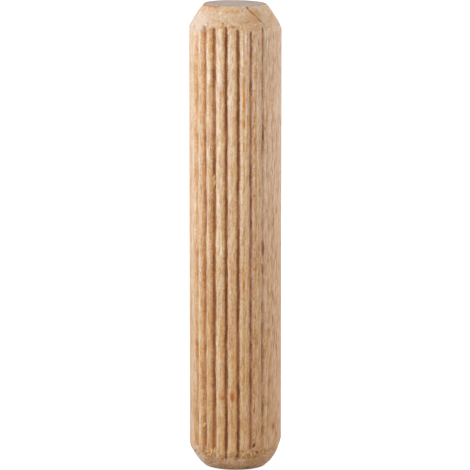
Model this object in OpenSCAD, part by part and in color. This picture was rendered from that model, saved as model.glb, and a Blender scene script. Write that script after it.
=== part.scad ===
// Fluted wooden dowel pin, 8 x 40 size.
// A round rod is pressed between two fluting dies and cut off, and both ends are turned down.
// The pin stands on its lower end face: origin at the middle of that face, +Z along the pin.

/* [Pin] */
// Length from end face to end face
pin_length = 40; // [25:1:60]
// Diameter across the crests of the flutes
crest_d = 7.9; // [7:0.1:10]

/* [Flutes] */
// Number of flute places round the pin
flute_count = 24; // [18:1:27]
// Depth of a full flute below the crests
flute_depth = 0.3; // [0.2:0.01:0.36]
// Radius of the rounded flute floor
flute_floor_r = 0.12; // [0.08:0.01:0.16]
// Radius of the rounded shoulder on each side of a flute
shoulder_r = 0.24; // [0.15:0.01:0.25]

/* [Smooth lands between the two dies] */
// Direction of one land's middle, counter-clockwise from +X in degrees; the other is opposite
land_angle = -15; // [-180:1:180]
// Angle on each side of a land's middle that the dies left unfluted
land_half_angle = 19.5; // [10:0.5:30]
// Angle past a land over which the flutes reach their full depth
fade_angle = 47; // [30:1:60]

/* [Upper end] */
// Diameter of the flat upper end face
upper_face_d = 5.36; // [4.6:0.02:6.2]
// Height of the upper chamfer
upper_chamfer_h = 2.05; // [1.4:0.05:3]
// How far the upper chamfer swells past a straight cone
upper_swell = 0.08; // [0.04:0.01:0.2]

/* [Lower end] */
// Diameter of the flat lower end face
lower_face_d = 5.18; // [4.6:0.02:6.2]
// Height of the lower chamfer
lower_chamfer_h = 2.1; // [1.4:0.05:3]
// How far the lower chamfer swells past a straight cone
lower_swell = 0.22; // [0.04:0.01:0.25]

/* [Hidden] */

beech = [0.83, 0.67, 0.49];
// Facets in a full turn of the pin, of a flute floor or shoulder, and of a chamfer's long arc
turn_facets = 144;
round_facets = 32;
arc_facets = 180;

crest_r = crest_d / 2;
full_turn = 360;
half_turn = 180;
flute_pitch = full_turn / flute_count;
// A flute that would be shallower than this leaves no mark
least_flute_depth = 0.02;
// Angle at which a shoulder's arc meets the crest and the flute floor
shoulder_meet_angle = 10;
// How far the flute cutters stand clear of the crests and of the end faces
cutter_clear = 0.5;

// Angle between two directions, from 0 to half a turn
function angle_apart(a, b) = acos(cos(a - b));
// Third side of a triangle from two sides and the angle between them, and the angle from three sides
function third_side(a, b, angle) = sqrt(a * a + b * b - 2 * a * b * cos(angle));
function angle_between(a, b, opposite) = acos((a * a + b * b - opposite * opposite) / (2 * a * b));
// Rises from 0 to 1 with level ends
function ease(t) = t * t * (3 - 2 * t);
function clamp01(t) = max(0, min(1, t));
function from_land(angle) = min(angle_apart(angle, land_angle), angle_apart(angle, land_angle + half_turn));
// Depth of the flute that faces one direction: nothing on a land, full depth away from both
function depth_at(angle) =
    flute_depth * ease(clamp01((from_land(angle) - land_half_angle) / fade_angle));

// Half outline of one end: a flat face, then a chamfer that swells outward along an arc
module end_outline(face_r, chamfer_h, swell) {
    run = crest_r - face_r;
    chord = norm([run, chamfer_h]);
    arc_r = (chord * chord / 4 + swell * swell) / (2 * swell);
    chord_middle = [(face_r + crest_r) / 2, chamfer_h / 2];
    inward = [-chamfer_h, run] / chord;
    polygon([[0, 0], [face_r, 0], [crest_r, chamfer_h], [0, chamfer_h]]);
    intersection() {
        square([crest_r, chamfer_h]);
        translate(chord_middle + (arc_r - swell) * inward) circle(r = arc_r, $fn = arc_facets);
    }
}

// The rod after cutting off and turning both ends, before it has flutes
module turned_rod() {
    rotate_extrude($fn = turn_facets) {
        end_outline(lower_face_d / 2, lower_chamfer_h, lower_swell);
        translate([0, lower_chamfer_h])
            square([crest_r, pin_length - lower_chamfer_h - upper_chamfer_h]);
        translate([0, pin_length]) mirror([0, 1])
            end_outline(upper_face_d / 2, upper_chamfer_h, upper_swell);
    }
}

// Section of one flute at +X: a round floor with a rounded shoulder on each side
module flute_section(depth) {
    floor_x = crest_r - depth + flute_floor_r;
    // Distances of a shoulder's centre from the pin's axis and from the middle of the floor's arc
    shoulder_x = third_side(crest_r, shoulder_r, shoulder_meet_angle);
    reach = third_side(flute_floor_r, shoulder_r, half_turn - shoulder_meet_angle);
    shoulder_angle = angle_between(shoulder_x, floor_x, reach);
    ray = [cos(shoulder_angle), sin(shoulder_angle)];
    outside = crest_r + cutter_clear;
    translate([floor_x, 0]) circle(r = flute_floor_r, $fn = round_facets);
    for (side = [0, 1]) mirror([0, side]) difference() {
        polygon([[floor_x, 0], shoulder_x * ray, outside * ray, [outside, 0]]);
        translate(shoulder_x * ray) circle(r = shoulder_r, $fn = round_facets);
    }
}

// All the flutes as straight cutters, each as deep as its die pressed it
module flute_cutters() {
    translate([0, 0, -cutter_clear])
        linear_extrude(height = pin_length + 2 * cutter_clear)
            for (i = [0 : flute_count - 1])
                if (depth_at(i * flute_pitch) > least_flute_depth)
                    rotate(i * flute_pitch) flute_section(depth_at(i * flute_pitch));
}

module dowel_pin() {
    color(beech) difference() {
        turned_rod();
        flute_cutters();
    }
}

dowel_pin();
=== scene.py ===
# Fluted beech dowel pin: its visible mesh and wood, a pale studio and the camera
import math
import bpy
import numpy as np
from mathutils import Matrix, Vector


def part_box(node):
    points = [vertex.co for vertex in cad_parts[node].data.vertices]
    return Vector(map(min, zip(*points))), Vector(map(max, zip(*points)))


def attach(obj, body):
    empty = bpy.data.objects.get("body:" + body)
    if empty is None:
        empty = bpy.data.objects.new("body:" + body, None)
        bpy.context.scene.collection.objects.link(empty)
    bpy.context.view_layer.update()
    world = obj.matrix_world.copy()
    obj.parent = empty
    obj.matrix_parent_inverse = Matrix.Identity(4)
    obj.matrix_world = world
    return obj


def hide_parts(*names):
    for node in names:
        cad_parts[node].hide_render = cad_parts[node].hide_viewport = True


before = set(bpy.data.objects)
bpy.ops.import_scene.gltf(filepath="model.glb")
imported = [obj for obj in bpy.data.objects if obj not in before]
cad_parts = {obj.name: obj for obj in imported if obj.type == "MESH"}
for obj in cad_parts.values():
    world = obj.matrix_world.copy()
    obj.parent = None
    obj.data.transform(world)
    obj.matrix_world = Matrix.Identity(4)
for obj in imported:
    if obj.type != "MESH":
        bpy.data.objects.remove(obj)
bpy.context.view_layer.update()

mm = 0.001
dice = np.random.default_rng(24)
lowCorner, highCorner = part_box("dowel_pin")
pinLength = (highCorner.z - lowCorner.z) / mm
crestRadius = max(highCorner.x, highCorner.y, -lowCorner.x, -lowCorner.y) / mm
fullTurn = 2 * math.pi


# Small helpers

def ease(t):  # rises from 0 to 1 with level ends
    t = np.clip(t, 0, 1)
    return t * t * (3 - 2 * t)


def linear(red, green, blue):  # a colour as seen on screen, 0 to 255, as light
    shares = [c / 255 for c in (red, green, blue)]
    return tuple(s / 12.92 if s < 0.04045 else ((s + 0.055) / 1.055) ** 2.4 for s in shares) + (1,)


def deselectAll():
    if bpy.context.mode != "OBJECT":
        bpy.ops.object.mode_set(mode="OBJECT")
    bpy.ops.object.select_all(action="DESELECT")


def angleApart(a, b):  # radians, from -half a turn to half a turn
    return (a - b + math.pi) % fullTurn - math.pi


# The pin's form, in millimetres and degrees

pinForm = {
    "columns": 384,          # mesh columns round the pin, an even number for each flute
    "turnWeight": 0.15,      # how much closer the columns stand where the section turns
    "fluteCount": 24,
    "fluteDepth": 0.30,
    "floorRadius": 0.12,
    "shoulderRadius": 0.30,
    "arcPoints": 60,         # points along each arc of a flute's section
    "crestLimit": 0.14,      # share of the depth above which a spot counts as crest
    "landAngle": -15,        # direction of one smooth land, the other is opposite
    "landHalfAngle": 19.5,
    "fadeAngle": 47,
    "landEdge": 1.6,         # how sharply the smooth wood of a land ends
    "upperFace": 2.67,       # radius of the flat end
    "upperHeight": 2.05,     # height of the chamfer
    "upperSwell": 0.08,      # how far the chamfer swells past a cone
    "upperOffset": (0.0, 0.055, 176),  # off centre at its face, at its foot, and which way
    "lowerFace": 2.61,
    "lowerHeight": 2.10,
    "lowerSwell": 0.22,
    "lowerOffset": (0.03, 0.06, 176),
    "edgeRounding": 0.04,    # worn edge of each end face
    "faceMargin": 0.01,      # nearer to an end face than this a point belongs to the face
    "upperSlant": (0.07, -8),  # how much lower one side of the upper face was sawn, and which side
    "endZone": 2.6,          # length at each end that gets close rows
    "endRow": 0.09,
    "middleRow": 0.19,
    "mergeWithin": 0.001,
    "smoothAngle": 60,
    "lowerRings": (1.0, 1.8, 2.3),
    "upperRings": (1.0, 1.8, 2.2, 2.32, 2.44, 2.54),
    # flutes that the die pressed off their even place, by number from +X: degrees
    "fluteShift": {13: 0.2, 14: -1.1, 15: -1.6, 16: -2.30, 17: -0.65, 18: -0.25, 19: 1.3, 20: 3.4, 21: 3.2,
                   3: -1.4, 5: 0.9, 6: -0.6, 7: 1.6, 8: -1.0},
    "fluteWidth": {14: 1.25, 15: 1.2, 16: 1.20, 17: 0.85, 18: 0.9, 19: 0.86, 20: 0.85,
                   4: 0.9, 7: 1.1, 9: 0.92},
    "fluteForce": {14: 1.05, 15: 0.92, 16: 1.06, 17: 1.15, 18: 1.08, 19: 0.94, 20: 1.12,
                   5: 1.1, 6: 0.92, 8: 1.08},
    "mostForce": 1.15,
    # heights above and below which the turning smeared a flute, and those of the flutes not named
    "fluteTop": {14: 38.08, 15: 38.52, 16: 38.46, 17: 38.60, 18: 38.36, 19: 38.16, 20: 38.50},
    "fluteFoot": {14: 1.75, 16: 1.70, 19: 1.75, 3: 1.8, 6: 1.6, 8: 1.75},
    "plainTop": 38.3,
    "plainFoot": 0.8,
    "smearLength": 0.4,
    "smearLeft": 0.3,        # share of the depth that stays open above a flute's top
    "unevenFlutes": {20: 3.2, 21: 2.0, 14: 2.0, 9: 2.2, 4: 2.0},  # pressed more unevenly than the others
}

pinWear = {
    "wander": (0.020, 2.2),      # sideways wander of a flute and its wavelength
    "chatter": (0.019, 0.38),    # shorter wobble from the die
    "widthChange": (0.07, 0.40),  # share of the width, wavelength
    "depthChange": (0.14, 0.9),
    "depthLimits": (-0.7, 0.35),
    "edgeFray": (0.055, 0.26),   # frayed shoulders of the flutes: depth, size
    "crestDent": (0.018, 1.2),   # uneven height of the crests
    "upperRough": 0.016,
    "lowerRough": 0.050,
    "tornRough": 0.075,
    "roughSizes": (0.6, 0.3, 0.14),
    "endBlend": 0.3,             # height over which a chamfer's roughness sets in
    "tornReach": 0.45,           # how far torn wood reaches from the middle of its band
    "tornPlaces": (-0.35, 0.15),  # middles of the lower and upper bands, from the chamfers' feet
    "tornLowSpread": 1.6,        # how many times further it reaches at the lower end
    "tornHighShare": 0.7,
    "chip": (-178.0, -122.0, 0.42, 0.21),  # broken lip of the upper face: from, to, how wide, how low
    "chipFade": (9, 5),          # degrees over which it fades at either end
    "chipWaver": (0.25, 0.31, 0.13),  # unevenness of the break: share, two waves
    "chipBand": 0.5,             # height below the upper face that it can reach
    "chipShown": 0.03,           # drop from which it has its full colour
}

# These are 85 streaks and marks. With 94 the wood once came out black, without an error.
# Long streaks of wood: angle, height, half width, half height, lean in degrees, colour, strength, depth
woodStreaks = [
    (-71.7, 14.00, 0.310, 26.0, -0.5, (206, 150, 96), 0.80, 0),
    (-62.8, 20.00, 0.120, 24.0, 0, (204, 174, 150), 0.60, 0),
    (-83.2, 20.00, 0.120, 24.0, 0, (222, 170, 102), 0.75, 0),
    (-66.6, 17.00, 0.060, 14.0, 0, (220, 162, 84), 0.60, 0),
    (-78.4, 20.00, 0.110, 24.0, 0, (204, 170, 148), 0.55, 0),
    (-97.4, 20.00, 0.080, 24.0, 0, (228, 176, 110), 0.60, 0),
    (-35.8, 20.00, 0.220, 26.0, 0, (238, 206, 180), 0.50, 0),
    (-99.6, 35.00, 0.240, 5.0, 0, (238, 214, 190), 0.60, 0),
]

# Marks on the surface, each with the same values as a streak
pinMarks = [
    (-61.8, 39.21, 0.075, 0.95, 41, (164, 106, 66), 0.85, 0.025),    # crack across the upper chamfer
    (-72.3, 39.86, 0.090, 0.090, 0, (110, 74, 52), 0.80, 0.030),
    (-69.3, 2.33, 0.110, 0.200, -20, (104, 56, 32), 0.95, 0.120),   # knocked-out pits
    (-65.3, 1.73, 0.090, 0.110, 0, (112, 64, 38), 0.90, 0.080),
    (-83.2, 32.28, 0.110, 0.98, 0, (220, 142, 62), 0.95, 0),        # orange flecks along one crest
    (-83.2, 30.15, 0.110, 0.42, 0, (216, 136, 60), 0.95, 0),
    (-83.2, 28.15, 0.090, 0.42, 0, (216, 148, 76), 0.90, 0),
    (-83.3, 16.55, 0.120, 1.00, 0, (222, 160, 88), 0.80, 0),
    (-83.2, 16.30, 0.085, 0.55, 0, (204, 118, 46), 0.90, 0),
    (-82.8, 33.95, 0.120, 0.28, 0, (206, 142, 100), 0.65, 0),
    (-111.5, 10.12, 0.180, 0.28, 0, (216, 150, 92), 0.75, 0),       # glue spots
    (-97.3, 10.05, 0.140, 0.30, 0, (212, 138, 70), 0.85, 0),
    (-111.6, 6.62, 0.240, 0.24, 0, (208, 144, 88), 0.80, 0),
    (-110.0, 6.52, 0.150, 0.17, -20, (186, 112, 60), 0.80, 0),
    (-97.6, 7.45, 0.090, 0.50, 0, (208, 152, 84), 0.75, 0),
    (-97.8, 6.72, 0.230, 0.46, 0, (204, 136, 76), 0.90, 0),
    (-97.7, 6.62, 0.150, 0.36, 0, (184, 98, 42), 0.95, 0),
    (-83.1, 8.26, 0.110, 0.30, 0, (196, 136, 78), 0.80, 0),
    (-106.8, 39.53, 0.200, 0.090, 0, (206, 150, 110), 0.70, 0.010),  # stains on the upper chamfer
    (-93.8, 39.54, 0.420, 0.075, -4, (206, 152, 92), 0.75, 0.010),
    (-104.5, 39.86, 0.260, 0.080, 0, (206, 176, 116), 0.60, 0.010),
    # painted light: a broad pale patch on the upper chamfer, on the side that faces the key lamp
    (-160.0, 38.50, 1.700, 0.850, 0, (228, 208, 194), 0.60, 0),
    # more stains on the upper chamfer
    (-72.0, 38.55, 1.500, 0.600, 0, (202, 160, 118), 0.45, 0),
    (-67.5, 38.95, 0.360, 0.420, 35, (200, 148, 98), 0.50, 0),
    (-57.6, 39.40, 0.300, 0.260, 20, (190, 144, 92), 0.60, 0),
    (-66.4, 39.42, 0.100, 0.220, 41, (184, 118, 68), 0.80, 0.020),
    (-58.6, 38.82, 0.090, 0.240, 41, (180, 114, 68), 0.80, 0.020),
    (-25.0, 39.14, 0.220, 0.140, 30, (200, 140, 80), 0.75, 0),
    (-77.2, 38.72, 0.300, 0.110, 12, (196, 140, 108), 0.75, 0.015),
    (-111.0, 38.62, 0.090, 0.090, 0, (130, 84, 50), 0.75, 0.030),
    (-110.5, 38.34, 0.220, 0.150, 0, (206, 144, 78), 0.85, 0.020),
    (-96.9, 38.36, 0.230, 0.130, 0, (190, 126, 78), 0.85, 0.025),
    (-82.9, 38.40, 0.220, 0.240, 0, (216, 182, 128), 0.60, 0.020),
    (-127.0, 39.97, 0.190, 0.080, 0, (140, 90, 56), 0.85, 0.020),
    (-125.6, 25.00, 0.120, 0.55, 0, (226, 180, 112), 0.80, 0),      # torn spot beside one crest
    (-120.9, 24.75, 0.070, 0.32, 0, (128, 70, 38), 0.90, 0.050),
    (-123.0, 25.30, 0.110, 0.45, 0, (220, 196, 148), 0.85, 0),
    (-149.1, 37.15, 0.190, 0.55, 0, (218, 160, 128), 0.80, 0),      # pink ray flecks
    (-149.1, 35.55, 0.190, 0.66, 0, (216, 156, 124), 0.75, 0),
    (-149.3, 30.90, 0.180, 0.60, 0, (218, 158, 126), 0.75, 0),
    (-149.3, 18.60, 0.170, 0.50, 0, (206, 140, 104), 0.70, 0),
    (-64.2, 37.05, 0.060, 0.34, 0, (170, 108, 88), 0.75, 0.010),    # thin dark dashes
    (-56.1, 38.06, 0.050, 0.24, 0, (146, 96, 60), 0.80, 0.020),
    (-56.8, 35.50, 0.065, 0.60, 0, (142, 92, 58), 0.85, 0.020),
    (-57.5, 32.35, 0.065, 0.60, 0, (148, 98, 62), 0.80, 0.020),
    (-56.5, 29.42, 0.120, 0.85, 5, (138, 90, 58), 0.85, 0.020),
    (-58.8, 27.60, 0.090, 0.70, 4, (160, 116, 90), 0.70, 0),
    (-104.1, 17.35, 0.060, 0.45, 0, (98, 58, 34), 0.85, 0),
    (-57.6, 9.90, 0.055, 0.80, 0, (150, 104, 74), 0.80, 0.010),
    (-57.5, 5.60, 0.055, 1.60, 0, (148, 100, 68), 0.75, 0.010),
    (-56.0, 19.41, 0.130, 0.62, 4, (164, 108, 76), 0.85, 0.010),
    (-57.5, 17.61, 0.140, 0.50, 6, (158, 102, 70), 0.85, 0.010),
    (-41.1, 19.80, 0.060, 1.00, 0, (176, 126, 100), 0.75, 0),
    (-40.3, 15.20, 0.070, 0.45, 0, (160, 108, 66), 0.80, 0),
    (-106.8, 1.25, 0.110, 0.260, 0, (126, 80, 48), 0.85, 0.050),    # stains and holes in the lower end
    (-92.3, 1.41, 0.100, 0.110, 0, (112, 72, 46), 0.90, 0.060),
    (-99.0, 1.62, 0.150, 0.150, 0, (206, 140, 62), 0.75, 0),
    (-93.4, 1.12, 0.120, 0.120, 0, (172, 116, 54), 0.80, 0.030),
    (-84.6, 1.40, 0.280, 0.130, 8, (178, 132, 64), 0.75, 0.030),
    (-66.7, 1.32, 0.170, 0.150, 0, (150, 96, 62), 0.80, 0.040),
    (-70.5, 1.22, 0.200, 0.090, -8, (206, 152, 78), 0.75, 0.010),
    (-50.5, 0.90, 0.200, 0.140, 20, (204, 156, 92), 0.70, 0.010),
    (-116.0, 0.80, 0.180, 0.120, 20, (196, 142, 76), 0.70, 0.015),
    (-118.4, 1.55, 0.100, 0.420, -8, (236, 208, 170), 0.75, 0),
    (-112.6, 1.76, 0.200, 0.200, 0, (232, 200, 160), 0.60, 0),
    (-102.6, 1.75, 0.180, 0.350, 0, (234, 200, 166), 0.65, 0),
    (-84.4, 1.04, 0.300, 0.130, -6, (222, 194, 166), 0.70, 0),
    (-51.0, 1.27, 0.090, 0.100, 0, (240, 218, 186), 0.75, 0),
    # a broad darker band along the lower rim, at the front
    (-95.0, 0.20, 1.900, 0.220, 0, (150, 110, 80), 0.40, 0),
    # more stains and holes in the lower end
    (-50.6, 1.66, 0.170, 0.220, 30, (150, 84, 42), 0.95, 0.040),
    (-131.5, 1.70, 0.330, 0.200, 0, (194, 140, 72), 0.75, 0.030),
    # painted light: a broad pale patch on the lower chamfer, on the side that faces the key lamp
    (-156.0, 1.20, 0.800, 0.750, 0, (222, 200, 180), 0.60, 0),
    # more stains in the lower end
    (-122.0, 1.12, 0.280, 0.300, 0, (196, 164, 138), 0.60, 0),
    (-101.5, 0.85, 0.500, 0.500, 0, (226, 190, 160), 0.40, 0),
    # painted shade: a broad darker patch on the lower chamfer, on the side turned from the key lamp
    (-62.0, 0.95, 1.100, 0.650, 0, (176, 126, 84), 0.35, 0),
    # more stains and holes in the lower end
    (-109.0, 0.50, 0.800, 0.080, 0, (160, 116, 80), 0.45, 0.015),
    (-72.2, 0.20, 0.200, 0.120, 0, (120, 74, 56), 0.80, 0.020),
]


def chamferRadius(height, face, rise, swell):
    # Radius of the turned end at a height above its face
    run = crestRadius - face
    chord = math.hypot(run, rise)
    arc = (chord ** 2 / 4 + swell ** 2) / (2 * swell)
    middleX = (face + crestRadius) / 2 - (arc - swell) * rise / chord
    middleZ = rise / 2 + (arc - swell) * run / chord
    return middleX + np.sqrt(np.maximum(arc ** 2 - (height - middleZ) ** 2, 0))


def turnedRadius(height, angle=0.0):
    # Radius of the whole turned rod, both chamfers included
    form = pinForm
    radius = np.full_like(height, crestRadius)
    for end, above in (("lower", height), ("upper", pinLength - height)):
        atFace, atFoot, toward = form[end + "Offset"]
        turned = chamferRadius(above, form[end + "Face"], form[end + "Height"], form[end + "Swell"])
        offset = atFace + (atFoot - atFace) * above / form[end + "Height"]
        turned = turned + offset * np.cos(angle - math.radians(toward))
        radius = np.where(above < form[end + "Height"] + atFoot * 2, np.minimum(turned, radius), radius)
    return radius


def outlinePoints():
    # Half outline from the middle of the lower face up to the middle of the upper face
    form = pinForm
    lowEnd = np.arange(form["edgeRounding"], form["endZone"], form["endRow"])
    middle = np.linspace(form["endZone"], pinLength - form["endZone"],
                         round((pinLength - 2 * form["endZone"]) / form["middleRow"]) + 1)
    heights = np.concatenate([lowEnd, middle, pinLength - lowEnd[::-1]])
    radii = turnedRadius(heights)
    lowRings = [(r, 0) for r in (0, *form["lowerRings"], form["lowerFace"] - form["edgeRounding"])]
    topRadii = (form["upperFace"] - form["edgeRounding"], *form["upperRings"][::-1], 0)
    topRings = [(r, pinLength) for r in topRadii]
    return [Vector((r * mm, 0, z * mm)) for r, z in [*lowRings, *zip(radii, heights), *topRings]]


def turnBlank():
    # Draws the half outline point by point, then turns it round the axis as on a lathe
    points = outlinePoints()
    deselectAll()
    bpy.ops.mesh.primitive_plane_add(size=mm, location=points[0])
    blank = bpy.context.object
    blank.name = "fluted_pin"
    bpy.ops.object.transform_apply(location=True, rotation=True, scale=True)
    bpy.ops.object.mode_set(mode="EDIT")
    bpy.ops.mesh.select_all(action="SELECT")
    bpy.ops.mesh.merge(type="CENTER")
    for here, following in zip(points, points[1:]):
        bpy.ops.mesh.extrude_region_move(TRANSFORM_OT_translate={"value": following - here})
    bpy.ops.mesh.select_all(action="SELECT")
    bpy.ops.mesh.spin(steps=pinForm["columns"], angle=fullTurn, center=(0, 0, 0), axis=(0, 0, 1))
    bpy.ops.mesh.select_all(action="SELECT")
    bpy.ops.mesh.remove_doubles(threshold=mm * pinForm["mergeWithin"])
    bpy.ops.mesh.normals_make_consistent(inside=False)
    bpy.ops.object.mode_set(mode="OBJECT")
    return blank


def fluteSection(steps):
    # Half a flute's section from its floor to the middle of the crest, in closer steps where it turns
    form = pinForm
    floorX = crestRadius - form["fluteDepth"] + form["floorRadius"]
    shoulderX = crestRadius - form["shoulderRadius"]
    reach = form["floorRadius"] + form["shoulderRadius"]
    tilt = math.acos((shoulderX ** 2 + floorX ** 2 - reach ** 2) / (2 * shoulderX * floorX))
    shoulder = np.array([shoulderX * math.cos(tilt), shoulderX * math.sin(tilt)])
    meet = math.atan2(shoulder[1], shoulder[0] - floorX)  # where floor and shoulder touch
    halfPitch = math.pi / form["fluteCount"]

    def arc(middle, radius, start, stop):
        turn = np.linspace(start, stop, form["arcPoints"])[1:]
        return np.stack([middle[0] + radius * np.cos(turn), middle[1] + radius * np.sin(turn)], axis=1)

    line = np.concatenate([
        [(floorX - form["floorRadius"], 0)],
        arc((floorX, 0), form["floorRadius"], math.pi, meet),
        arc(shoulder, form["shoulderRadius"], meet - math.pi, tilt),
        arc((0, 0), crestRadius, tilt, halfPitch),
    ])
    alongX, alongY = np.diff(line, axis=0).T
    heading = np.unwrap(np.arctan2(alongY, alongX))
    stride = np.hypot(alongX, alongY) + form["turnWeight"] * np.abs(np.diff(heading, prepend=heading[0]))
    travelled = np.concatenate([[0], np.cumsum(stride)])
    stops = np.linspace(0, travelled[-1], steps + 1)
    x, y = np.interp(stops, travelled, line[:, 0]), np.interp(stops, travelled, line[:, 1])
    return np.arctan2(y, x), (crestRadius - np.hypot(x, y)) / form["fluteDepth"]


def fluteLine(wavelength):
    # A smooth random line for each flute, from -1 to 1 along the pin
    knots = dice.uniform(-1, 1, (pinForm["fluteCount"], int(pinLength / wavelength) + 3))

    def value(flute, height):
        place = np.clip(height, 0, pinLength) / wavelength
        cell = np.floor(place).astype(int)
        here, following = knots[flute, cell], knots[flute, cell + 1]
        return here + (following - here) * ease(place - cell)
    return value


def patches(turns, height, size, tall=1.0):
    # Smooth random patches of one size all over the pin, from -1 to 1
    around = round(fullTurn * crestRadius / size)
    knots = dice.uniform(-1, 1, (around, int(pinLength / size / tall) + 3))
    across, up = turns * around, np.clip(height, 0, pinLength) / size / tall
    column, row = np.floor(across).astype(int), np.floor(up).astype(int)
    sideways, upward = ease(across - column), ease(up - row)
    left, right = column % around, (column + 1) % around
    low = knots[left, row] * (1 - sideways) + knots[right, row] * sideways
    high = knots[left, row + 1] * (1 - sideways) + knots[right, row + 1] * sideways
    return low * (1 - upward) + high * upward


def perFlute(name, plain):
    # A value for each flute: its own where it has one, otherwise the plain one
    return np.array([pinForm[name].get(i, plain) for i in range(pinForm["fluteCount"])])


def fluteDepthShare():
    # How deep each flute is pressed: nothing on the two lands, 1 away from them
    form = pinForm
    angles = np.arange(form["fluteCount"]) * 360 / form["fluteCount"]
    apart = np.abs((angles - form["landAngle"] + 90) % 180 - 90)
    return ease((apart - form["landHalfAngle"]) / form["fadeAngle"])


def fluteSmear(flute, height):
    # How open each flute is along its length: the turning smeared some of their ends shut
    form = pinForm
    feet, tops = perFlute("fluteFoot", form["plainFoot"]), perFlute("fluteTop", form["plainTop"])
    opened = ease((height - feet[flute]) / form["smearLength"])
    left = form["smearLeft"]
    return opened * (left + (1 - left) * ease((tops[flute] - height) / form["smearLength"]))


def markDepth(angle, height, radius):
    # How far the pits, the crack and the other marks go in
    depth = np.zeros_like(radius)
    for toward, level, halfWidth, halfHeight, lean, _, _, deep in pinMarks:
        if deep:
            across, up = radius * angleApart(angle, math.radians(toward)), height - level
            turn = math.radians(lean)
            along = up * math.cos(turn) - across * math.sin(turn)
            aside = across * math.cos(turn) + up * math.sin(turn)
            away = np.hypot(aside / halfWidth, along / halfHeight)
            depth = np.maximum(depth, deep * ease((1.5 - away) / 0.9))
    return depth


def breakLip(radius, angle, height):
    # Cuts the upper rim down to a small slanting face where the lip broke off
    start, stop, wide, low = pinWear["chip"]
    fadeIn, fadeOut = pinWear["chipFade"]
    waver, wave, slowWave = pinWear["chipWaver"]
    along = (np.degrees(angle) - start + 180) % 360 - 180
    share = ease(along / fadeIn) * ease((stop - start - along) / fadeOut)
    share = share * (1 - waver + waver * np.sin(along * wave) * np.cos(along * slowWave))
    inner = pinForm["upperFace"] - wide * share
    outer = chamferRadius(low * share, pinForm["upperFace"], pinForm["upperHeight"], pinForm["upperSwell"])
    slope = low * share / np.maximum(outer - inner, 1e-6)
    limit = pinLength - slope * np.maximum(radius - inner, 0)
    inReach = (share > 0) & (height > pinLength - pinWear["chipBand"])
    return np.where(inReach, np.minimum(height, limit), height)


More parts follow.
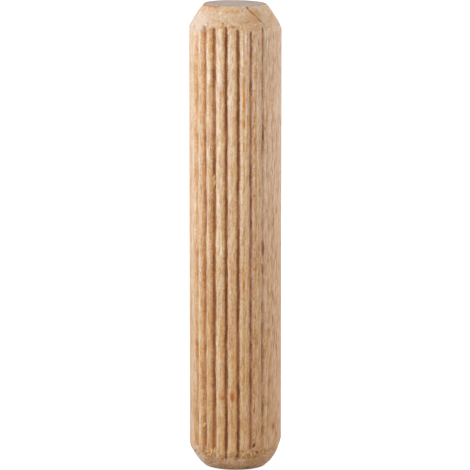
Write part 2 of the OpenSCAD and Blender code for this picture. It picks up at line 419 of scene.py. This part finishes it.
def pressFlutes(pin):
    # Moves every column of the turned blank onto the fluted section, then wears it
    form, wear = pinForm, pinWear
    count = len(pin.data.vertices)
    places = np.empty(count * 3)
    pin.data.vertices.foreach_get("co", places)
    places = places.reshape(count, 3) / mm
    radius = np.hypot(places[:, 0], places[:, 1])
    height = places[:, 2].copy()
    turns = (np.arctan2(places[:, 1], places[:, 0]) / fullTurn) % 1

    column = np.rint(turns * form["columns"]).astype(int)
    half = form["columns"] // form["fluteCount"] // 2
    flute = ((column + half) // (2 * half)) % form["fluteCount"]
    offset = (column + half) % (2 * half) - half
    side, step = np.where(offset < 0, -1, 1), np.abs(offset)
    neighbour = (flute + side) % form["fluteCount"]

    sideAngles, depthShares = fluteSection(half)
    shiftList = np.radians(perFlute("fluteShift", 0))
    wander, chatter = fluteLine(wear["wander"][1]), fluteLine(wear["chatter"][1])

    def sideways(number):
        worn = wear["wander"][0] * wander(number, height) + wear["chatter"][0] * chatter(number, height)
        return shiftList[number] + worn / crestRadius

    own = 1 - 0.5 * ease((step - 0.6 * half) / (0.4 * half))  # a crest is shared by two flutes
    shift = own * sideways(flute) + (1 - own) * sideways(neighbour)
    width = perFlute("fluteWidth", 1)
    wider = wear["widthChange"][0] * fluteLine(wear["widthChange"][1])(flute, height) + width[flute] - 1
    wider = wider * (2 * own - 1)
    angle = flute * fullTurn / form["fluteCount"] + side * sideAngles[step] * (1 + wider) + shift

    uneven = perFlute("unevenFlutes", 1)
    change = wear["depthChange"][0] * fluteLine(wear["depthChange"][1])(flute, height)
    deeper = 1 + np.clip(change * uneven[flute], *wear["depthLimits"])
    pressed = np.minimum(fluteDepthShare() * perFlute("fluteForce", 1), form["mostForce"])[flute]
    depth = form["fluteDepth"] * pressed * deeper * fluteSmear(flute, height)
    share = depthShares[step]
    section = crestRadius - depth * share
    dents = wear["crestDent"][0] * (patches(turns, height, wear["crestDent"][1]) - 1) / 2
    fray = wear["edgeFray"][0] * (patches(turns, height, wear["edgeFray"][1], 1.5) - 0.3) / 1.3
    section = section + dents * (1 - share) + fray * 4 * share * (1 - share) * fluteDepthShare()[flute]

    # the turned ends cut the flutes off, and tear the wood where they do
    turned = turnedRadius(height, angle)
    lowJoint, highJoint = form["lowerHeight"], pinLength - form["upperHeight"]
    lowBand, highBand = wear["tornPlaces"]
    nearLow = ease(1 - np.abs(height - lowJoint - lowBand) / wear["tornReach"] / wear["tornLowSpread"])
    nearHigh = ease(1 - np.abs(height - highJoint - highBand) / wear["tornReach"])
    onLow = ease((lowJoint - height) / wear["endBlend"])
    onHigh = ease((height - highJoint) / wear["endBlend"])
    lumps, fine, finest = (patches(turns, height, size) for size in wear["roughSizes"])
    turned = turned + onLow * wear["lowerRough"] * (0.5 * lumps + 0.4 * fine + 0.15 * finest - 0.4)
    turned = turned + onHigh * wear["upperRough"] * (0.5 * fine + 0.5 * finest - 0.4)
    torn = np.maximum(nearLow, wear["tornHighShare"] * nearHigh) * np.clip(0.4 + fine, 0, 1)
    section = section - wear["tornRough"] * torn * np.clip(finest + 0.3, 0, 1)
    newRadius = np.minimum(section, turned)
    barrel = radius > min(form["lowerFace"], form["upperFace"]) - form["edgeRounding"] / 2
    belowTop = height < pinLength - form["faceMargin"]
    newRadius = np.where(barrel & (height > form["faceMargin"]) & belowTop, newRadius, radius)
    newRadius = newRadius - markDepth(angle, height, newRadius) * belowTop

    sound = height
    height = breakLip(newRadius, angle, height)
    chipped = np.clip((sound - height) / wear["chipShown"], 0, 1)
    fall, toward = form["upperSlant"]
    slant = 0.5 + 0.5 * newRadius * np.cos(angle - math.radians(toward)) / form["upperFace"]
    height = height - fall * slant * ease((height - highJoint) / form["upperHeight"])
    places = np.stack([newRadius * np.cos(angle), newRadius * np.sin(angle), height], axis=1)
    places[radius < 1e-4, :2] = 0
    pin.data.vertices.foreach_set("co", (places * mm).ravel())
    pin.data.update()
    grooved = depth / form["fluteDepth"] * share * (section < turned + 0.02)
    crested = ease((form["crestLimit"] - share) / form["crestLimit"]) * ease(depth / form["fluteDepth"])
    chamfered = turned <= section + 0.01
    # share of the pitch
    across = side * sideAngles[step] * form["fluteCount"] / fullTurn
    saveAttribute(pin, "groove", grooved)
    saveAttribute(pin, "side", np.sin(fullTurn * across) * ease(depth / form["fluteDepth"]) * (1 - chamfered))
    saveAttribute(pin, "crest", crested * (1 - chamfered))
    saveAttribute(pin, "torn", np.clip(torn, 0, 1))
    saveAttribute(pin, "lowEnd", onLow * chamfered)
    saveAttribute(pin, "highEnd", onHigh * chamfered)
    saveAttribute(pin, "chipped", chipped)
    ownPart = form["landEdge"] * own * fluteDepthShare()[flute]
    otherPart = form["landEdge"] * (1 - own) * fluteDepthShare()[neighbour]
    saveAttribute(pin, "land", 1 - ease(ownPart + otherPart))


def saveAttribute(piece, name, values):
    layer = piece.data.attributes.new(name, "FLOAT", "POINT")
    layer.data.foreach_set("value", values.astype(np.float32))


print("pin: turning the blank")
flutedPin = turnBlank()
print("pin: pressing the flutes")
pressFlutes(flutedPin)
deselectAll()
flutedPin.select_set(True)
bpy.context.view_layer.objects.active = flutedPin
bpy.ops.object.shade_smooth_by_angle(angle=math.radians(pinForm["smoothAngle"]))
print("pin:", len(flutedPin.data.vertices), "vertices,", len(flutedPin.data.polygons), "faces")


# Torn fibres: one blade is modelled, then copied to where the turning broke the flutes

tornFibres = {
    # along the blade: height, width, outward bend
    "stations": ((0, 1.0, 0), (0.3, 1.0, 0.03), (0.55, 0.9, 0.10), (0.8, 0.66, 0.22), (1.0, 0.25, 0.34)),
    "thickness": 0.3,          # share of the width
    "perFlute": 5,
    "endShare": {"low": 1, "high": 0.4},
    "fromEnd": {"low": 1.75, "high": 1.7},  # distance of their middle from the nearer end face
    "scatter": 0.32,           # millimetres up and down
    "sunk": (0.12, 0.01),      # share of the length and millimetres that are in the wood
    "rayStart": 2,             # millimetres outside the crests
    "length": (0.14, 0.34),
    "width": (0.10, 0.22),
    "lift": (2, 18),           # degrees off the surface
    "lean": 40,                # degrees to either side
    # single splinters: angle, height, length, width, lift, lean from straight up
    "single": ((-123.2, 25.55, 0.36, 0.20, 7, 184), (-110.9, 5.15, 0.50, 0.17, 10, 170),
               (-108.4, 5.10, 0.46, 0.16, 10, 204), (-137.6, 4.10, 0.46, 0.20, 15, 205),
               (-120.8, 1.75, 0.36, 0.17, 20, 215), (-117.2, 1.60, 0.34, 0.17, 20, 150),
               (-125.4, 1.85, 0.38, 0.17, 18, 170)),
}


def carveBlade():
    # A flat strip 1 mm long that thins towards its tip and curls outward along +Y
    deselectAll()
    bpy.ops.mesh.primitive_plane_add(size=mm, location=(0, 0, 0))
    blade = bpy.context.object
    blade.name = "torn_fibre"
    blade.scale = (1, tornFibres["thickness"], 1)
    bpy.ops.object.transform_apply(location=True, rotation=True, scale=True)
    bpy.ops.object.mode_set(mode="EDIT")
    bpy.ops.mesh.select_all(action="SELECT")
    stations = tornFibres["stations"]
    for (upHere, wideHere, outHere), (up, wide, out) in zip(stations, stations[1:]):
        step = Vector((0, (out - outHere) * mm, (up - upHere) * mm))
        bpy.ops.mesh.extrude_region_move(TRANSFORM_OT_translate={"value": step})
        share = wide / wideHere
        bpy.ops.transform.resize(value=(share, share, 1), center_override=(0, out * mm, up * mm))
    bpy.ops.mesh.select_all(action="SELECT")
    bpy.ops.mesh.normals_make_consistent(inside=False)
    bpy.ops.object.mode_set(mode="OBJECT")
    bpy.ops.object.shade_smooth()
    return blade


def surfaceAt(angle, height):
    # The pin's surface seen from straight outside: place and outward direction
    turn = math.radians(angle)
    outward = Vector((math.cos(turn), math.sin(turn), 0))
    start = outward * (crestRadius + tornFibres["rayStart"]) * mm + Vector((0, 0, height * mm))
    _, place, normal, _ = flutedPin.ray_cast(start, -outward)
    return place, normal.normalized()


def setBlade(blade, angle, height, length, width, lift, lean):
    # Lays a copy of the blade on the surface, its root sunk in the wood
    place, normal = surfaceAt(angle, height)
    upward = (Vector((0, 0, 1)) - normal * normal.z).normalized()
    sideways = upward.cross(normal)
    turn, rise = math.radians(lean), math.radians(lift)
    along = upward * math.cos(turn) + sideways * math.sin(turn)
    along = (along * math.cos(rise) + normal * math.sin(rise)).normalized()
    across = along.cross(normal).normalized()
    outward = across.cross(along)
    turned = Matrix((across, outward, along)).transposed().to_4x4()
    sized = Matrix.Diagonal((width, width, length, 1))
    sunkShare, sunk = tornFibres["sunk"]
    root = place - along * length * sunkShare * mm - normal * sunk * mm
    copy = blade.copy()
    copy.data = blade.data.copy()
    copy.data.transform(Matrix.Translation(root) @ turned @ sized)
    bpy.context.collection.objects.link(copy)
    return copy


def tearFibres():
    values, blade, copies = tornFibres, carveBlade(), []
    pitch = 360 / pinForm["fluteCount"]
    for number, share in enumerate(fluteDepthShare()):
        middle = number * pitch + pinForm["fluteShift"].get(number, 0)
        ends = (("low", values["fromEnd"]["low"], 180), ("high", pinLength - values["fromEnd"]["high"], 0))
        for end, level, heading in ends:
            blades = int(values["perFlute"] * share * values["endShare"][end] + 0.5)
            for _ in range(blades):
                angle = middle + dice.uniform(-0.5, 0.5) * pitch
                height = level + dice.uniform(-values["scatter"], values["scatter"])
                length, width = dice.uniform(*values["length"]), dice.uniform(*values["width"])
                lift, lean = dice.uniform(*values["lift"]), heading + dice.normal(0, values["lean"])
                copies.append(setBlade(blade, angle, height, length, width, lift, lean))
    copies += [setBlade(blade, *single) for single in values["single"]]
    deselectAll()
    for copy in copies:
        copy.select_set(True)
    bpy.context.view_layer.objects.active = copies[0]
    bpy.ops.object.join()
    bpy.data.objects.remove(blade)
    torn = bpy.context.object
    torn.name = "torn_fibres"
    print("fibres:", len(copies), "blades,", len(torn.data.polygons), "faces")
    return torn


tornPiece = tearFibres()


# Shader bench: a wire is a node's output that takes part in sums

class Wire:
    def __init__(self, bench, socket):
        self.bench = bench
        self.socket = socket

    def __add__(self, other):
        return self.bench.maths("ADD", self, other)

    def __sub__(self, other):
        return self.bench.maths("SUBTRACT", self, other)

    def __mul__(self, other):
        return self.bench.maths("MULTIPLY", self, other)

    def __rsub__(self, other):
        return self.bench.maths("SUBTRACT", other, self)

    __radd__, __rmul__ = __add__, __mul__


class Bench:
    def __init__(self, tree):
        self.tree = tree
        tree.nodes.clear()

    def node(self, kind, settings=None, values=None, out=0):
        made = self.tree.nodes.new(kind)
        for name, setting in (settings or {}).items():
            setattr(made, name, setting)
        for name, value in (values or {}).items():
            if isinstance(value, Wire):
                self.tree.links.new(value.socket, made.inputs[name])
            else:
                made.inputs[name].default_value = value
        return Wire(self, made.outputs[out]) if len(made.outputs) else made

    def maths(self, operation, *values):
        return self.node("ShaderNodeMath", {"operation": operation}, dict(enumerate(values)))

    def vector(self, operation, *values, out=0):
        return self.node("ShaderNodeVectorMath", {"operation": operation}, dict(enumerate(values)), out)

    def between(self, value, low, high):  # 0 below low, 1 above high
        limits = {"Value": value, "From Min": low, "From Max": high}
        return self.node("ShaderNodeMapRange", {"interpolation_type": "SMOOTHSTEP"}, limits)

    def mix(self, share, first, second, blend="MIX"):
        return self.node("ShaderNodeMix", {"data_type": "RGBA", "blend_type": blend},
                         {0: share, 6: first, 7: second}, out=2)

    def tint(self, colour, tone, warmth=(1, 1, 1)):  # lighter above 0 and darker below, by channel
        shades = {i: 1 + tone * share for i, share in enumerate(warmth)}
        return self.mix(1.0, colour, self.node("ShaderNodeCombineColor", {}, shades), "MULTIPLY")

    def noise(self, vector, scale, detail=2.0, roughness=0.5, out=0):
        stretched = self.vector("MULTIPLY", vector, scale)
        values = {"Vector": stretched, "Scale": 1.0, "Detail": detail, "Roughness": roughness}
        return self.node("ShaderNodeTexNoise", {"noise_dimensions": "3D"}, values, out)

    def attribute(self, name):
        return self.node("ShaderNodeAttribute", {"attribute_name": name}, out="Fac")


# Beech: rings and rays stand in one block of wood, so that they agree on every side of the pin

beech = {
    "pithAngle": 151,         # direction of the tree's middle, degrees from +X
    "pithDistance": 34,       # millimetres
    "ringSpacing": 2.3,
    "ringStart": 0.35,        # share of a ring
    "waver": 0.25,            # how far the fibres wander, millimetres
    "grainLean": 0.06,        # how far the fibres lean, millimetres for each millimetre up
    "cream": (236, 217, 190),
    "straw": (227, 194, 149),
    "pink": (222, 183, 158),
    "amber": (218, 165, 104),
    "late": (206, 160, 122),  # dark side of a ring
    "land": (226, 191, 162),
    "dash": (160, 102, 60),
    "highlight": (236, 213, 178),  # painted highlight on the pale side of a crest
    "crest": (228, 187, 129),      # painted shade: its golden side, the side turned from the light
    "flank": (222, 195, 174),      # painted highlight on the shoulder beside the pale side
    "shoulder": (222, 176, 132),   # painted shade on the shoulder beside the golden side
    "paleWall": (206, 158, 126),   # sides of a flute, darker partly from the pressing and partly as painted shade; the pale one on the side painted as lit, the gold one on the side painted as shaded
    "goldWall": (211, 150, 89),
    # bottom of a flute, darker partly from the pressing and partly as painted shade in the hollow
    "floor": (150, 98, 55),
    "torn": (226, 194, 148),
    "tornGold": (204, 144, 74),
    "tornDark": (140, 88, 50),
    "lowEnd": (229, 197, 170),
    "lowGold": (204, 148, 84),
    "highEnd": (205, 174, 144),
    "highGold": (208, 160, 108),
    "chip": (180, 132, 94),
    "foot": (0.82, 0.73, 0.60, 1),  # darker and browner towards its lower end
    "shadedSideTint": (-0.01, -0.06, -0.11),  # painted shade: browner on the side away from the tree's middle, the side turned from the key lamp, by channel
    # end grain: darker and greyer than the sides, partly as sawn end grain is and partly as painted shade for
    # the weaker light from above
    "endGrain": (163, 146, 135),
    "endRay": (180, 164, 152),
    "endPore": (130, 106, 92),
    "warmth": (1.0, 1.7, 2.75),  # a darker spot is browner, a lighter one paler
    "roughness": 0.55,
    "sheen": 0.3,
    "sheenRoughness": 0.35,
    "toneTop": 0.14,          # lightest tone of a fibre, so that no speck shines out
    "endFacing": 0.995,       # a face that looks this nearly straight up or down is end grain
    "gloss": 0.3,             # specular level
}


def woodBlock(bench):
    # Object coordinates in millimetres, X away from the tree's middle, Y along the rings, Z up the tree
    place = bench.node("ShaderNodeTexCoord", out="Object")
    turned = {"Vector": place, "Rotation": (0, 0, -math.radians(beech["pithAngle"] + 180)),
              "Scale": (1 / mm, 1 / mm, 1 / mm)}
    block = bench.node("ShaderNodeMapping", {"vector_type": "POINT"}, turned)
    drift = bench.vector("SUBTRACT", bench.noise(block, (0.3, 0.3, 0.06), 1.0, out="Color"), (0.5, 0.5, 0.5))
    drift = bench.vector("MULTIPLY", drift, (beech["waver"], beech["waver"], 0))
    block = bench.vector("ADD", block, drift)
    lean = bench.vector("MULTIPLY", place, (0, 0, beech["grainLean"] / mm))
    lean = bench.vector("DOT_PRODUCT", lean, (0, 0, 1), out="Value")
    return place, bench.vector("SUBTRACT", block, bench.node("ShaderNodeCombineXYZ", {}, {1: lean}))


def lateWood(bench, block):
    # 1 on the dark side of each growth ring
    fromPith = bench.vector("ADD", block, (beech["pithDistance"], 0, 0))
    distance = bench.vector("LENGTH", bench.vector("MULTIPLY", fromPith, (1, 1, 0)), out="Value")
    ring = bench.maths("FRACT", distance * (1 / beech["ringSpacing"]) + beech["ringStart"])
    return bench.between(ring, 0.45, 0.93) * (1 - bench.between(ring, 0.94, 1.0))


def paintMarks(bench, place, colour, marks):
    # Lays streaks, pits, flecks and spots over the wood's colour
    ragged = bench.noise(place, (9000, 9000, 2600), 2.0)
    for toward, level, halfWidth, halfHeight, lean, markColour, strength, _ in marks:
        turn, tip = math.radians(toward), math.radians(lean)
        outward = Vector((math.cos(turn), math.sin(turn), 0))
        sideways, upward = Vector((-math.sin(turn), math.cos(turn), 0)), Vector((0, 0, 1))
        along = (upward * math.cos(tip) - sideways * math.sin(tip)) / halfHeight / mm
        aside = (sideways * math.cos(tip) + upward * math.sin(tip)) / halfWidth / mm
        fromMark = bench.vector("SUBTRACT", place, (0, 0, level * mm))
        up = bench.vector("DOT_PRODUCT", fromMark, tuple(along), out="Value")
        across = bench.vector("DOT_PRODUCT", fromMark, tuple(aside), out="Value")
        front = bench.vector("DOT_PRODUCT", place, tuple(outward), out="Value")
        away = bench.maths("SQRT", up * up + across * across) + 0.45 * (ragged - 0.5)
        share = (1 - bench.between(away, 0.75, 1.25)) * bench.maths("GREATER_THAN", front, 0.001)
        colour = bench.mix(share * strength, colour, linear(*markColour))
    return colour


def longGrain():
    material = bpy.data.materials.new("beech_long_grain")
    material.use_nodes = True
    bench = Bench(material.node_tree)
    place, block = woodBlock(bench)
    groove, crest, land, side = (bench.attribute(name) for name in ("groove", "crest", "land", "side"))
    torn, lowEnd, highEnd, chipped = (
        bench.attribute(name) for name in ("torn", "lowEnd", "highEnd", "chipped"))
    broad = bench.noise(block, (0.5, 0.5, 0.06), 2.0)
    mottle = bench.noise(block, (3.4, 3.4, 0.45), 3.0, 0.6)
    blotch = bench.noise(block, (1.9, 1.9, 1.9), 3.0, 0.65)
    swirl = bench.noise(block, (1.8, 1.8, 3.0), 3.0, 0.65)
    strip = bench.noise(block, (2.2, 2.2, 0.02), 1.0)
    blush = bench.noise(block, (1.5, 3.0, 0.70), 2.0)
    bead = bench.noise(block, (3.4, 3.4, 0.85), 2.0, 0.6)
    shadeNoise = bench.noise(block, (1.4, 1.4, 0.45), 3.0, 0.65)
    streak = bench.noise(block, (4.6, 4.6, 0.30), 3.0, 0.6)
    fibre = bench.noise(block, (11, 11, 1.2), 3.0, 0.65)
    speck = bench.noise(block, (8.5, 8.5, 4.4), 2.0, 0.65)
    dash = bench.between(bench.noise(block, (0.8, 7.5, 0.95), 1.0), 0.58, 0.67)
    late = lateWood(bench, block)
    outward = bench.vector("NORMALIZE", bench.vector("MULTIPLY", block, (1, 1, 0)))
    facing = bench.vector("DOT_PRODUCT", outward, (1, 0, 0), out="Value")
    ends = bench.maths("POWER", bench.maths("ABSOLUTE", facing), 3.0)  # where rays are cut across
    # pale and golden split every crest into a side painted as lit and a side painted as shaded
    pale, golden = bench.between(side, -0.45, 0.35), 1 - bench.between(side, -0.8, 0.0)

    def paint(colour, share, name):
        return bench.mix(share, colour, linear(*beech[name]))

    colour = bench.mix(bench.between(mottle + 0.35 * (broad - 0.5), 0.42, 0.58),
                       linear(*beech["cream"]), linear(*beech["straw"]))
    colour = paint(colour, bench.between(blush, 0.52, 0.70) * 0.75, "pink")
    colour = paint(colour, late * 0.45, "late")
    # painted highlight on the pale side of each crest, painted shade in gold and amber on its other side
    colour = paint(colour, crest * pale * bench.between(streak, 0.32, 0.56) * 0.5, "highlight")
    colour = paint(colour, crest * golden * (0.60 + 0.4 * bench.between(streak, 0.40, 0.56)), "crest")
    colour = paint(colour, crest * (1 - pale) * bench.between(bead, 0.52, 0.60) * 0.8, "amber")
    # random pink and amber streaks in the wood
    colour = paint(colour, crest * bench.between(blush, 0.56, 0.66) * 0.45, "pink")
    colour = paint(colour, bench.between(strip, 0.53, 0.62) * 0.35, "amber")
    colour = paint(colour, (1 - bench.between(strip, 0.38, 0.47)) * 0.4, "pink")
    colour = paintMarks(bench, place, colour, woodStreaks)
    colour = paint(colour, land * 0.55, "land")
    colour = paint(colour, dash * ends * 0.75, "dash")
    colour = paint(colour, highEnd * 0.8, "highEnd")
    colour = paint(colour, highEnd * bench.between(blotch, 0.50, 0.62) * 0.6, "highGold")
    colour = paint(colour, highEnd * (1 - bench.between(blotch, 0.34, 0.46)) * 0.35, "cream")
    colour = paint(colour, lowEnd * 0.8, "lowEnd")
    colour = paint(colour, lowEnd * bench.between(swirl, 0.50, 0.55) * 0.85, "lowGold")
    colour = paint(colour, lowEnd * (1 - bench.between(swirl, 0.38, 0.43)) * 0.60, "tornDark")
    colour = paint(colour, chipped * 0.9, "chip")
    jag = bench.noise(block, (1.2, 1.2, 4.8), 2.0, 0.6)
    rough = 0.55 * (speck - 0.5) + 0.42 * (fibre - 0.5) + 1.6 * side * (jag - 0.5)
    frayed = groove + rough * bench.between(groove, 0.0, 0.14)
    # painted highlight and painted shade on the shoulders beside each flute
    shoulder = bench.between(frayed, 0.02, 0.11) * (1 - land)
    colour = paint(colour, shoulder * pale * 0.7, "flank")
    colour = paint(colour, shoulder * golden * (0.35 + 0.6 * bench.between(shadeNoise, 0.38, 0.58)), "shoulder")
    # sides and bottom of each flute, darker partly from the pressing and partly as painted shade in the
    # hollow
    wall = bench.between(frayed, 0.24, 0.55) * (0.6 + 0.4 * bench.between(groove, 0.45, 0.85))
    colour = paint(colour, wall * pale, "paleWall")
    colour = paint(colour, wall * (1 - pale), "goldWall")
    floorDarkness = 0.55 + 0.45 * bench.between(shadeNoise, 0.35, 0.55)
    colour = paint(colour, bench.between(frayed, 0.62, 0.95) * floorDarkness, "floor")
    shreds = bench.noise(block, (5.5, 5.5, 4.0), 2.0, 0.6)
    colour = paint(colour, torn * bench.between(shreds, 0.50, 0.56) * 0.8, "torn")
    gold = bench.between(shreds, 0.38, 0.43) * (1 - bench.between(shreds, 0.47, 0.51))
    colour = paint(colour, torn * gold * 0.85, "tornGold")
    colour = paint(colour, torn * (1 - bench.between(shreds, 0.33, 0.39)) * 0.8, "tornDark")
    tone = 0.75 * (streak - 0.5) + (1 + 0.3 * land) * (fibre - 0.5)
    tone = tone + 0.62 * (1 - 0.5 * land) * (speck - 0.5)
    tone = bench.maths("MINIMUM", (1 - 0.4 * highEnd - 0.2 * lowEnd) * tone, beech["toneTop"])
    colour = bench.tint(colour, 0.65 * tone, beech["warmth"])
    # painted shade: browner on the side away from the tree's middle, the side turned from the key lamp
    colour = bench.tint(colour, bench.between(facing, 0.55, 1.0), beech["shadedSideTint"])
    height = bench.node("ShaderNodeSeparateXYZ", {}, {"Vector": place}, out=2)
    deeper = 1 - bench.between(height, 0.0, 0.85 * pinLength * mm)
    colour = bench.mix(deeper, colour, bench.mix(1.0, colour, beech["foot"], "MULTIPLY"))
    colour = paintMarks(bench, place, colour, pinMarks)
    colour = bench.tint(colour, 0.35 * tone, beech["warmth"])

    relief = fibre * 0.6 + streak * 0.35 + speck * 0.7 + (lowEnd + torn) * 0.8 * mottle
    normal = bench.node("ShaderNodeBump", {}, {"Strength": 0.5, "Distance": 0.08 * mm, "Height": relief})
    surface = bench.node("ShaderNodeBsdfPrincipled", {}, {
        "Base Color": colour,
        "Roughness": beech["roughness"] + 0.12 * streak - 0.08 * crest + 0.1 * (lowEnd + highEnd),
        "Sheen Weight": beech["sheen"],
        "Sheen Roughness": beech["sheenRoughness"],
        "Specular IOR Level": beech["gloss"],
        "Normal": normal,
    })
    bench.node("ShaderNodeOutputMaterial", {}, {"Surface": surface})
    return material


def endGrain():
    material = bpy.data.materials.new("beech_end_grain")
    material.use_nodes = True
    bench = Bench(material.node_tree)
    _, block = woodBlock(bench)
    late = lateWood(bench, block)
    ray = bench.between(bench.noise(block, (0.45, 7.5, 0.62), 1.0), 0.57, 0.66)
    thinRay = bench.between(bench.noise(block, (0.9, 22, 1.5), 1.0), 0.52, 0.64)
    pore = bench.between(bench.noise(block, (17, 17, 2), 1.0), 0.58, 0.68)
    cloud = bench.noise(block, (1.1, 1.1, 1.1), 3.0, 0.6)
    saw = bench.noise(block, (0.5, 5.0, 0.5), 2.0)

    colour = bench.mix(late * 0.25, linear(*beech["endGrain"]), linear(*beech["late"]))
    colour = bench.mix(pore * (1 - late) * 0.55, colour, linear(*beech["endPore"]))
    colour = bench.mix(bench.maths("MAXIMUM", ray, thinRay * 0.45) * 0.7, colour, linear(*beech["endRay"]))
    colour = bench.tint(colour, 0.4 * (cloud - 0.5) + 0.16 * (saw - 0.5))
    relief = ray * 0.4 - pore * 0.6 + saw * 0.5 + cloud * 0.4
    normal = bench.node("ShaderNodeBump", {}, {"Strength": 0.6, "Distance": 0.04 * mm, "Height": relief})
    surface = bench.node("ShaderNodeBsdfPrincipled", {}, {
        "Base Color": colour, "Roughness": 0.66 + 0.16 * pore - 0.08 * ray, "Normal": normal})
    bench.node("ShaderNodeOutputMaterial", {}, {"Surface": surface})
    return material


def looseFibre():
    material = bpy.data.materials.new("beech_torn_fibre")
    material.use_nodes = True
    bench = Bench(material.node_tree)
    place, block = woodBlock(bench)
    strand = bench.noise(block, (16, 16, 2.5), 2.0)
    height = bench.node("ShaderNodeSeparateXYZ", {}, {"Vector": place}, out=2)
    upper = (0.5 * pinLength * mm, pinLength * mm)
    gold = bench.between(strand, 0.35, 0.65) * (1 - 0.75 * bench.between(height, *upper))
    colour = bench.mix(gold, linear(*beech["torn"]), linear(*beech["tornGold"]))
    normal = bench.node("ShaderNodeBump", {}, {"Strength": 0.5, "Distance": 0.02 * mm, "Height": strand})
    surface = bench.node("ShaderNodeBsdfPrincipled", {}, {
        "Base Color": colour, "Roughness": 0.62 + 0.1 * strand, "Normal": normal})
    bench.node("ShaderNodeOutputMaterial", {}, {"Surface": surface})
    return material


def dressPin():
    # Long grain all over, end grain on the two sawn faces
    flutedPin.data.materials.append(longGrain())
    flutedPin.data.materials.append(endGrain())
    for face in flutedPin.data.polygons:
        if abs(face.normal.z) > beech["endFacing"]:
            face.material_index = 1
    tornPiece.data.materials.clear()
    tornPiece.data.materials.append(looseFibre())


dressPin()
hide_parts("dowel_pin")
for piece in (flutedPin, tornPiece):
    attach(piece, "root")
print("pin: wood is on")


# Studio

studio = {
    "fill": 0.845,           # light from all round
    "floorGap": 0.02,        # millimetres under the pin, so that no two faces lie in one plane
    "floorSize": 6,          # metres
    "floorColour": 0.60,
    "floorLift": 0.75,       # keeps the floor white for the camera, with a soft shadow
    # lamps: angle right of the camera, rise, distance and size in metres, level where a white
    # surface that faces the lamp would come out as 1
    "lamps": {
        "key_lamp": (-62, 28, 0.16, 0.11, 0.40),
        "right_rim_lamp": (130, 16, 0.30, 0.22, 0.22),
        "left_rim_lamp": (-130, 16, 0.30, 0.22, 0.02),
    },
}


def seenDirectly(bench):
    # 1 for rays from the camera, off gloss and through glass
    rays = [bench.node("ShaderNodeLightPath", out=name)
            for name in ("Is Camera Ray", "Is Glossy Ray", "Is Transmission Ray")]
    return bench.maths("MAXIMUM", bench.maths("MAXIMUM", rays[0], rays[1]), rays[2])


def makeSky():
    sky = bpy.data.worlds.new("studio_sky")
    bpy.context.scene.world = sky
    sky.use_nodes = True
    bench = Bench(sky.node_tree)
    seen = seenDirectly(bench)
    strength = seen + (1 - seen) * studio["fill"]
    white = bench.node("ShaderNodeBackground", {}, {"Color": (1, 1, 1, 1), "Strength": strength})
    bench.node("ShaderNodeOutputWorld", {}, {"Surface": white})


def makeFloor():
    deselectAll()
    level = lowCorner.z - studio["floorGap"] * mm
    bpy.ops.mesh.primitive_plane_add(size=studio["floorSize"], location=(0, 0, level))
    floor = bpy.context.object
    floor.name = "studio_floor"
    paint = bpy.data.materials.new("pale_floor")
    paint.use_nodes = True
    bench = Bench(paint.node_tree)
    grey = studio["floorColour"]
    matte = bench.node("ShaderNodeBsdfDiffuse", {}, {"Color": (grey, grey, grey, 1)})
    glow = bench.node("ShaderNodeEmission", {}, {"Strength": seenDirectly(bench) * studio["floorLift"]})
    both = bench.node("ShaderNodeAddShader", {}, {0: matte, 1: glow})
    bench.node("ShaderNodeOutputMaterial", {}, {"Surface": both})
    floor.data.materials.append(paint)


viewPoint = {
    "azimuth": -3.8,       # degrees, so that a flute lies where it should beside the middle line
    "elevation": 9.5,
    "distance": 350.3,     # millimetres from the middle of the pin
    "focalPixels": 4087,
    "imagePixels": 470,
    "middle": (235.4, 235.2),  # where the middle of the pin falls in the image
    "sensor": 36,
    "clip": (0.01, 20),    # metres
}


def direction(azimuth, elevation):
    across, up = math.radians(azimuth), math.radians(elevation)
    return Vector((math.sin(across) * math.cos(up), -math.cos(across) * math.cos(up), math.sin(up)))


def makeCamera():
    eye = bpy.data.cameras.new("studio_camera")
    camera = bpy.data.objects.new("studio_camera", eye)
    bpy.context.collection.objects.link(camera)
    target = (lowCorner + highCorner) / 2
    target.x = target.y = 0
    back = direction(viewPoint["azimuth"], viewPoint["elevation"])
    camera.location = target + back * viewPoint["distance"] * mm
    camera.rotation_mode = "QUATERNION"
    camera.rotation_quaternion = (-back).to_track_quat("-Z", "Y")
    size = viewPoint["imagePixels"]
    eye.sensor_width = viewPoint["sensor"]
    eye.lens = viewPoint["focalPixels"] * eye.sensor_width / size
    eye.shift_x = (size / 2 - viewPoint["middle"][0]) / size
    eye.shift_y = (viewPoint["middle"][1] - size / 2) / size
    eye.clip_start, eye.clip_end = viewPoint["clip"]
    bpy.context.scene.camera = camera


def makeLamp(name, azimuth, rise, distance, size, level):
    light = bpy.data.lights.new(name, "AREA")
    light.energy, light.size = (math.pi * distance) ** 2 * level, size
    lamp = bpy.data.objects.new(name, light)
    bpy.context.collection.objects.link(lamp)
    back = direction(viewPoint["azimuth"] + azimuth, rise)
    lamp.location = (lowCorner + highCorner) / 2 + back * distance
    lamp.rotation_mode = "QUATERNION"
    lamp.rotation_quaternion = (-back).to_track_quat("-Z", "Y")


makeSky()
makeFloor()
makeCamera()
for name, values in studio["lamps"].items():
    makeLamp(name, *values)
bpy.context.scene.view_settings.view_transform = "Standard"
print("studio: sky, floor, camera and lamps")
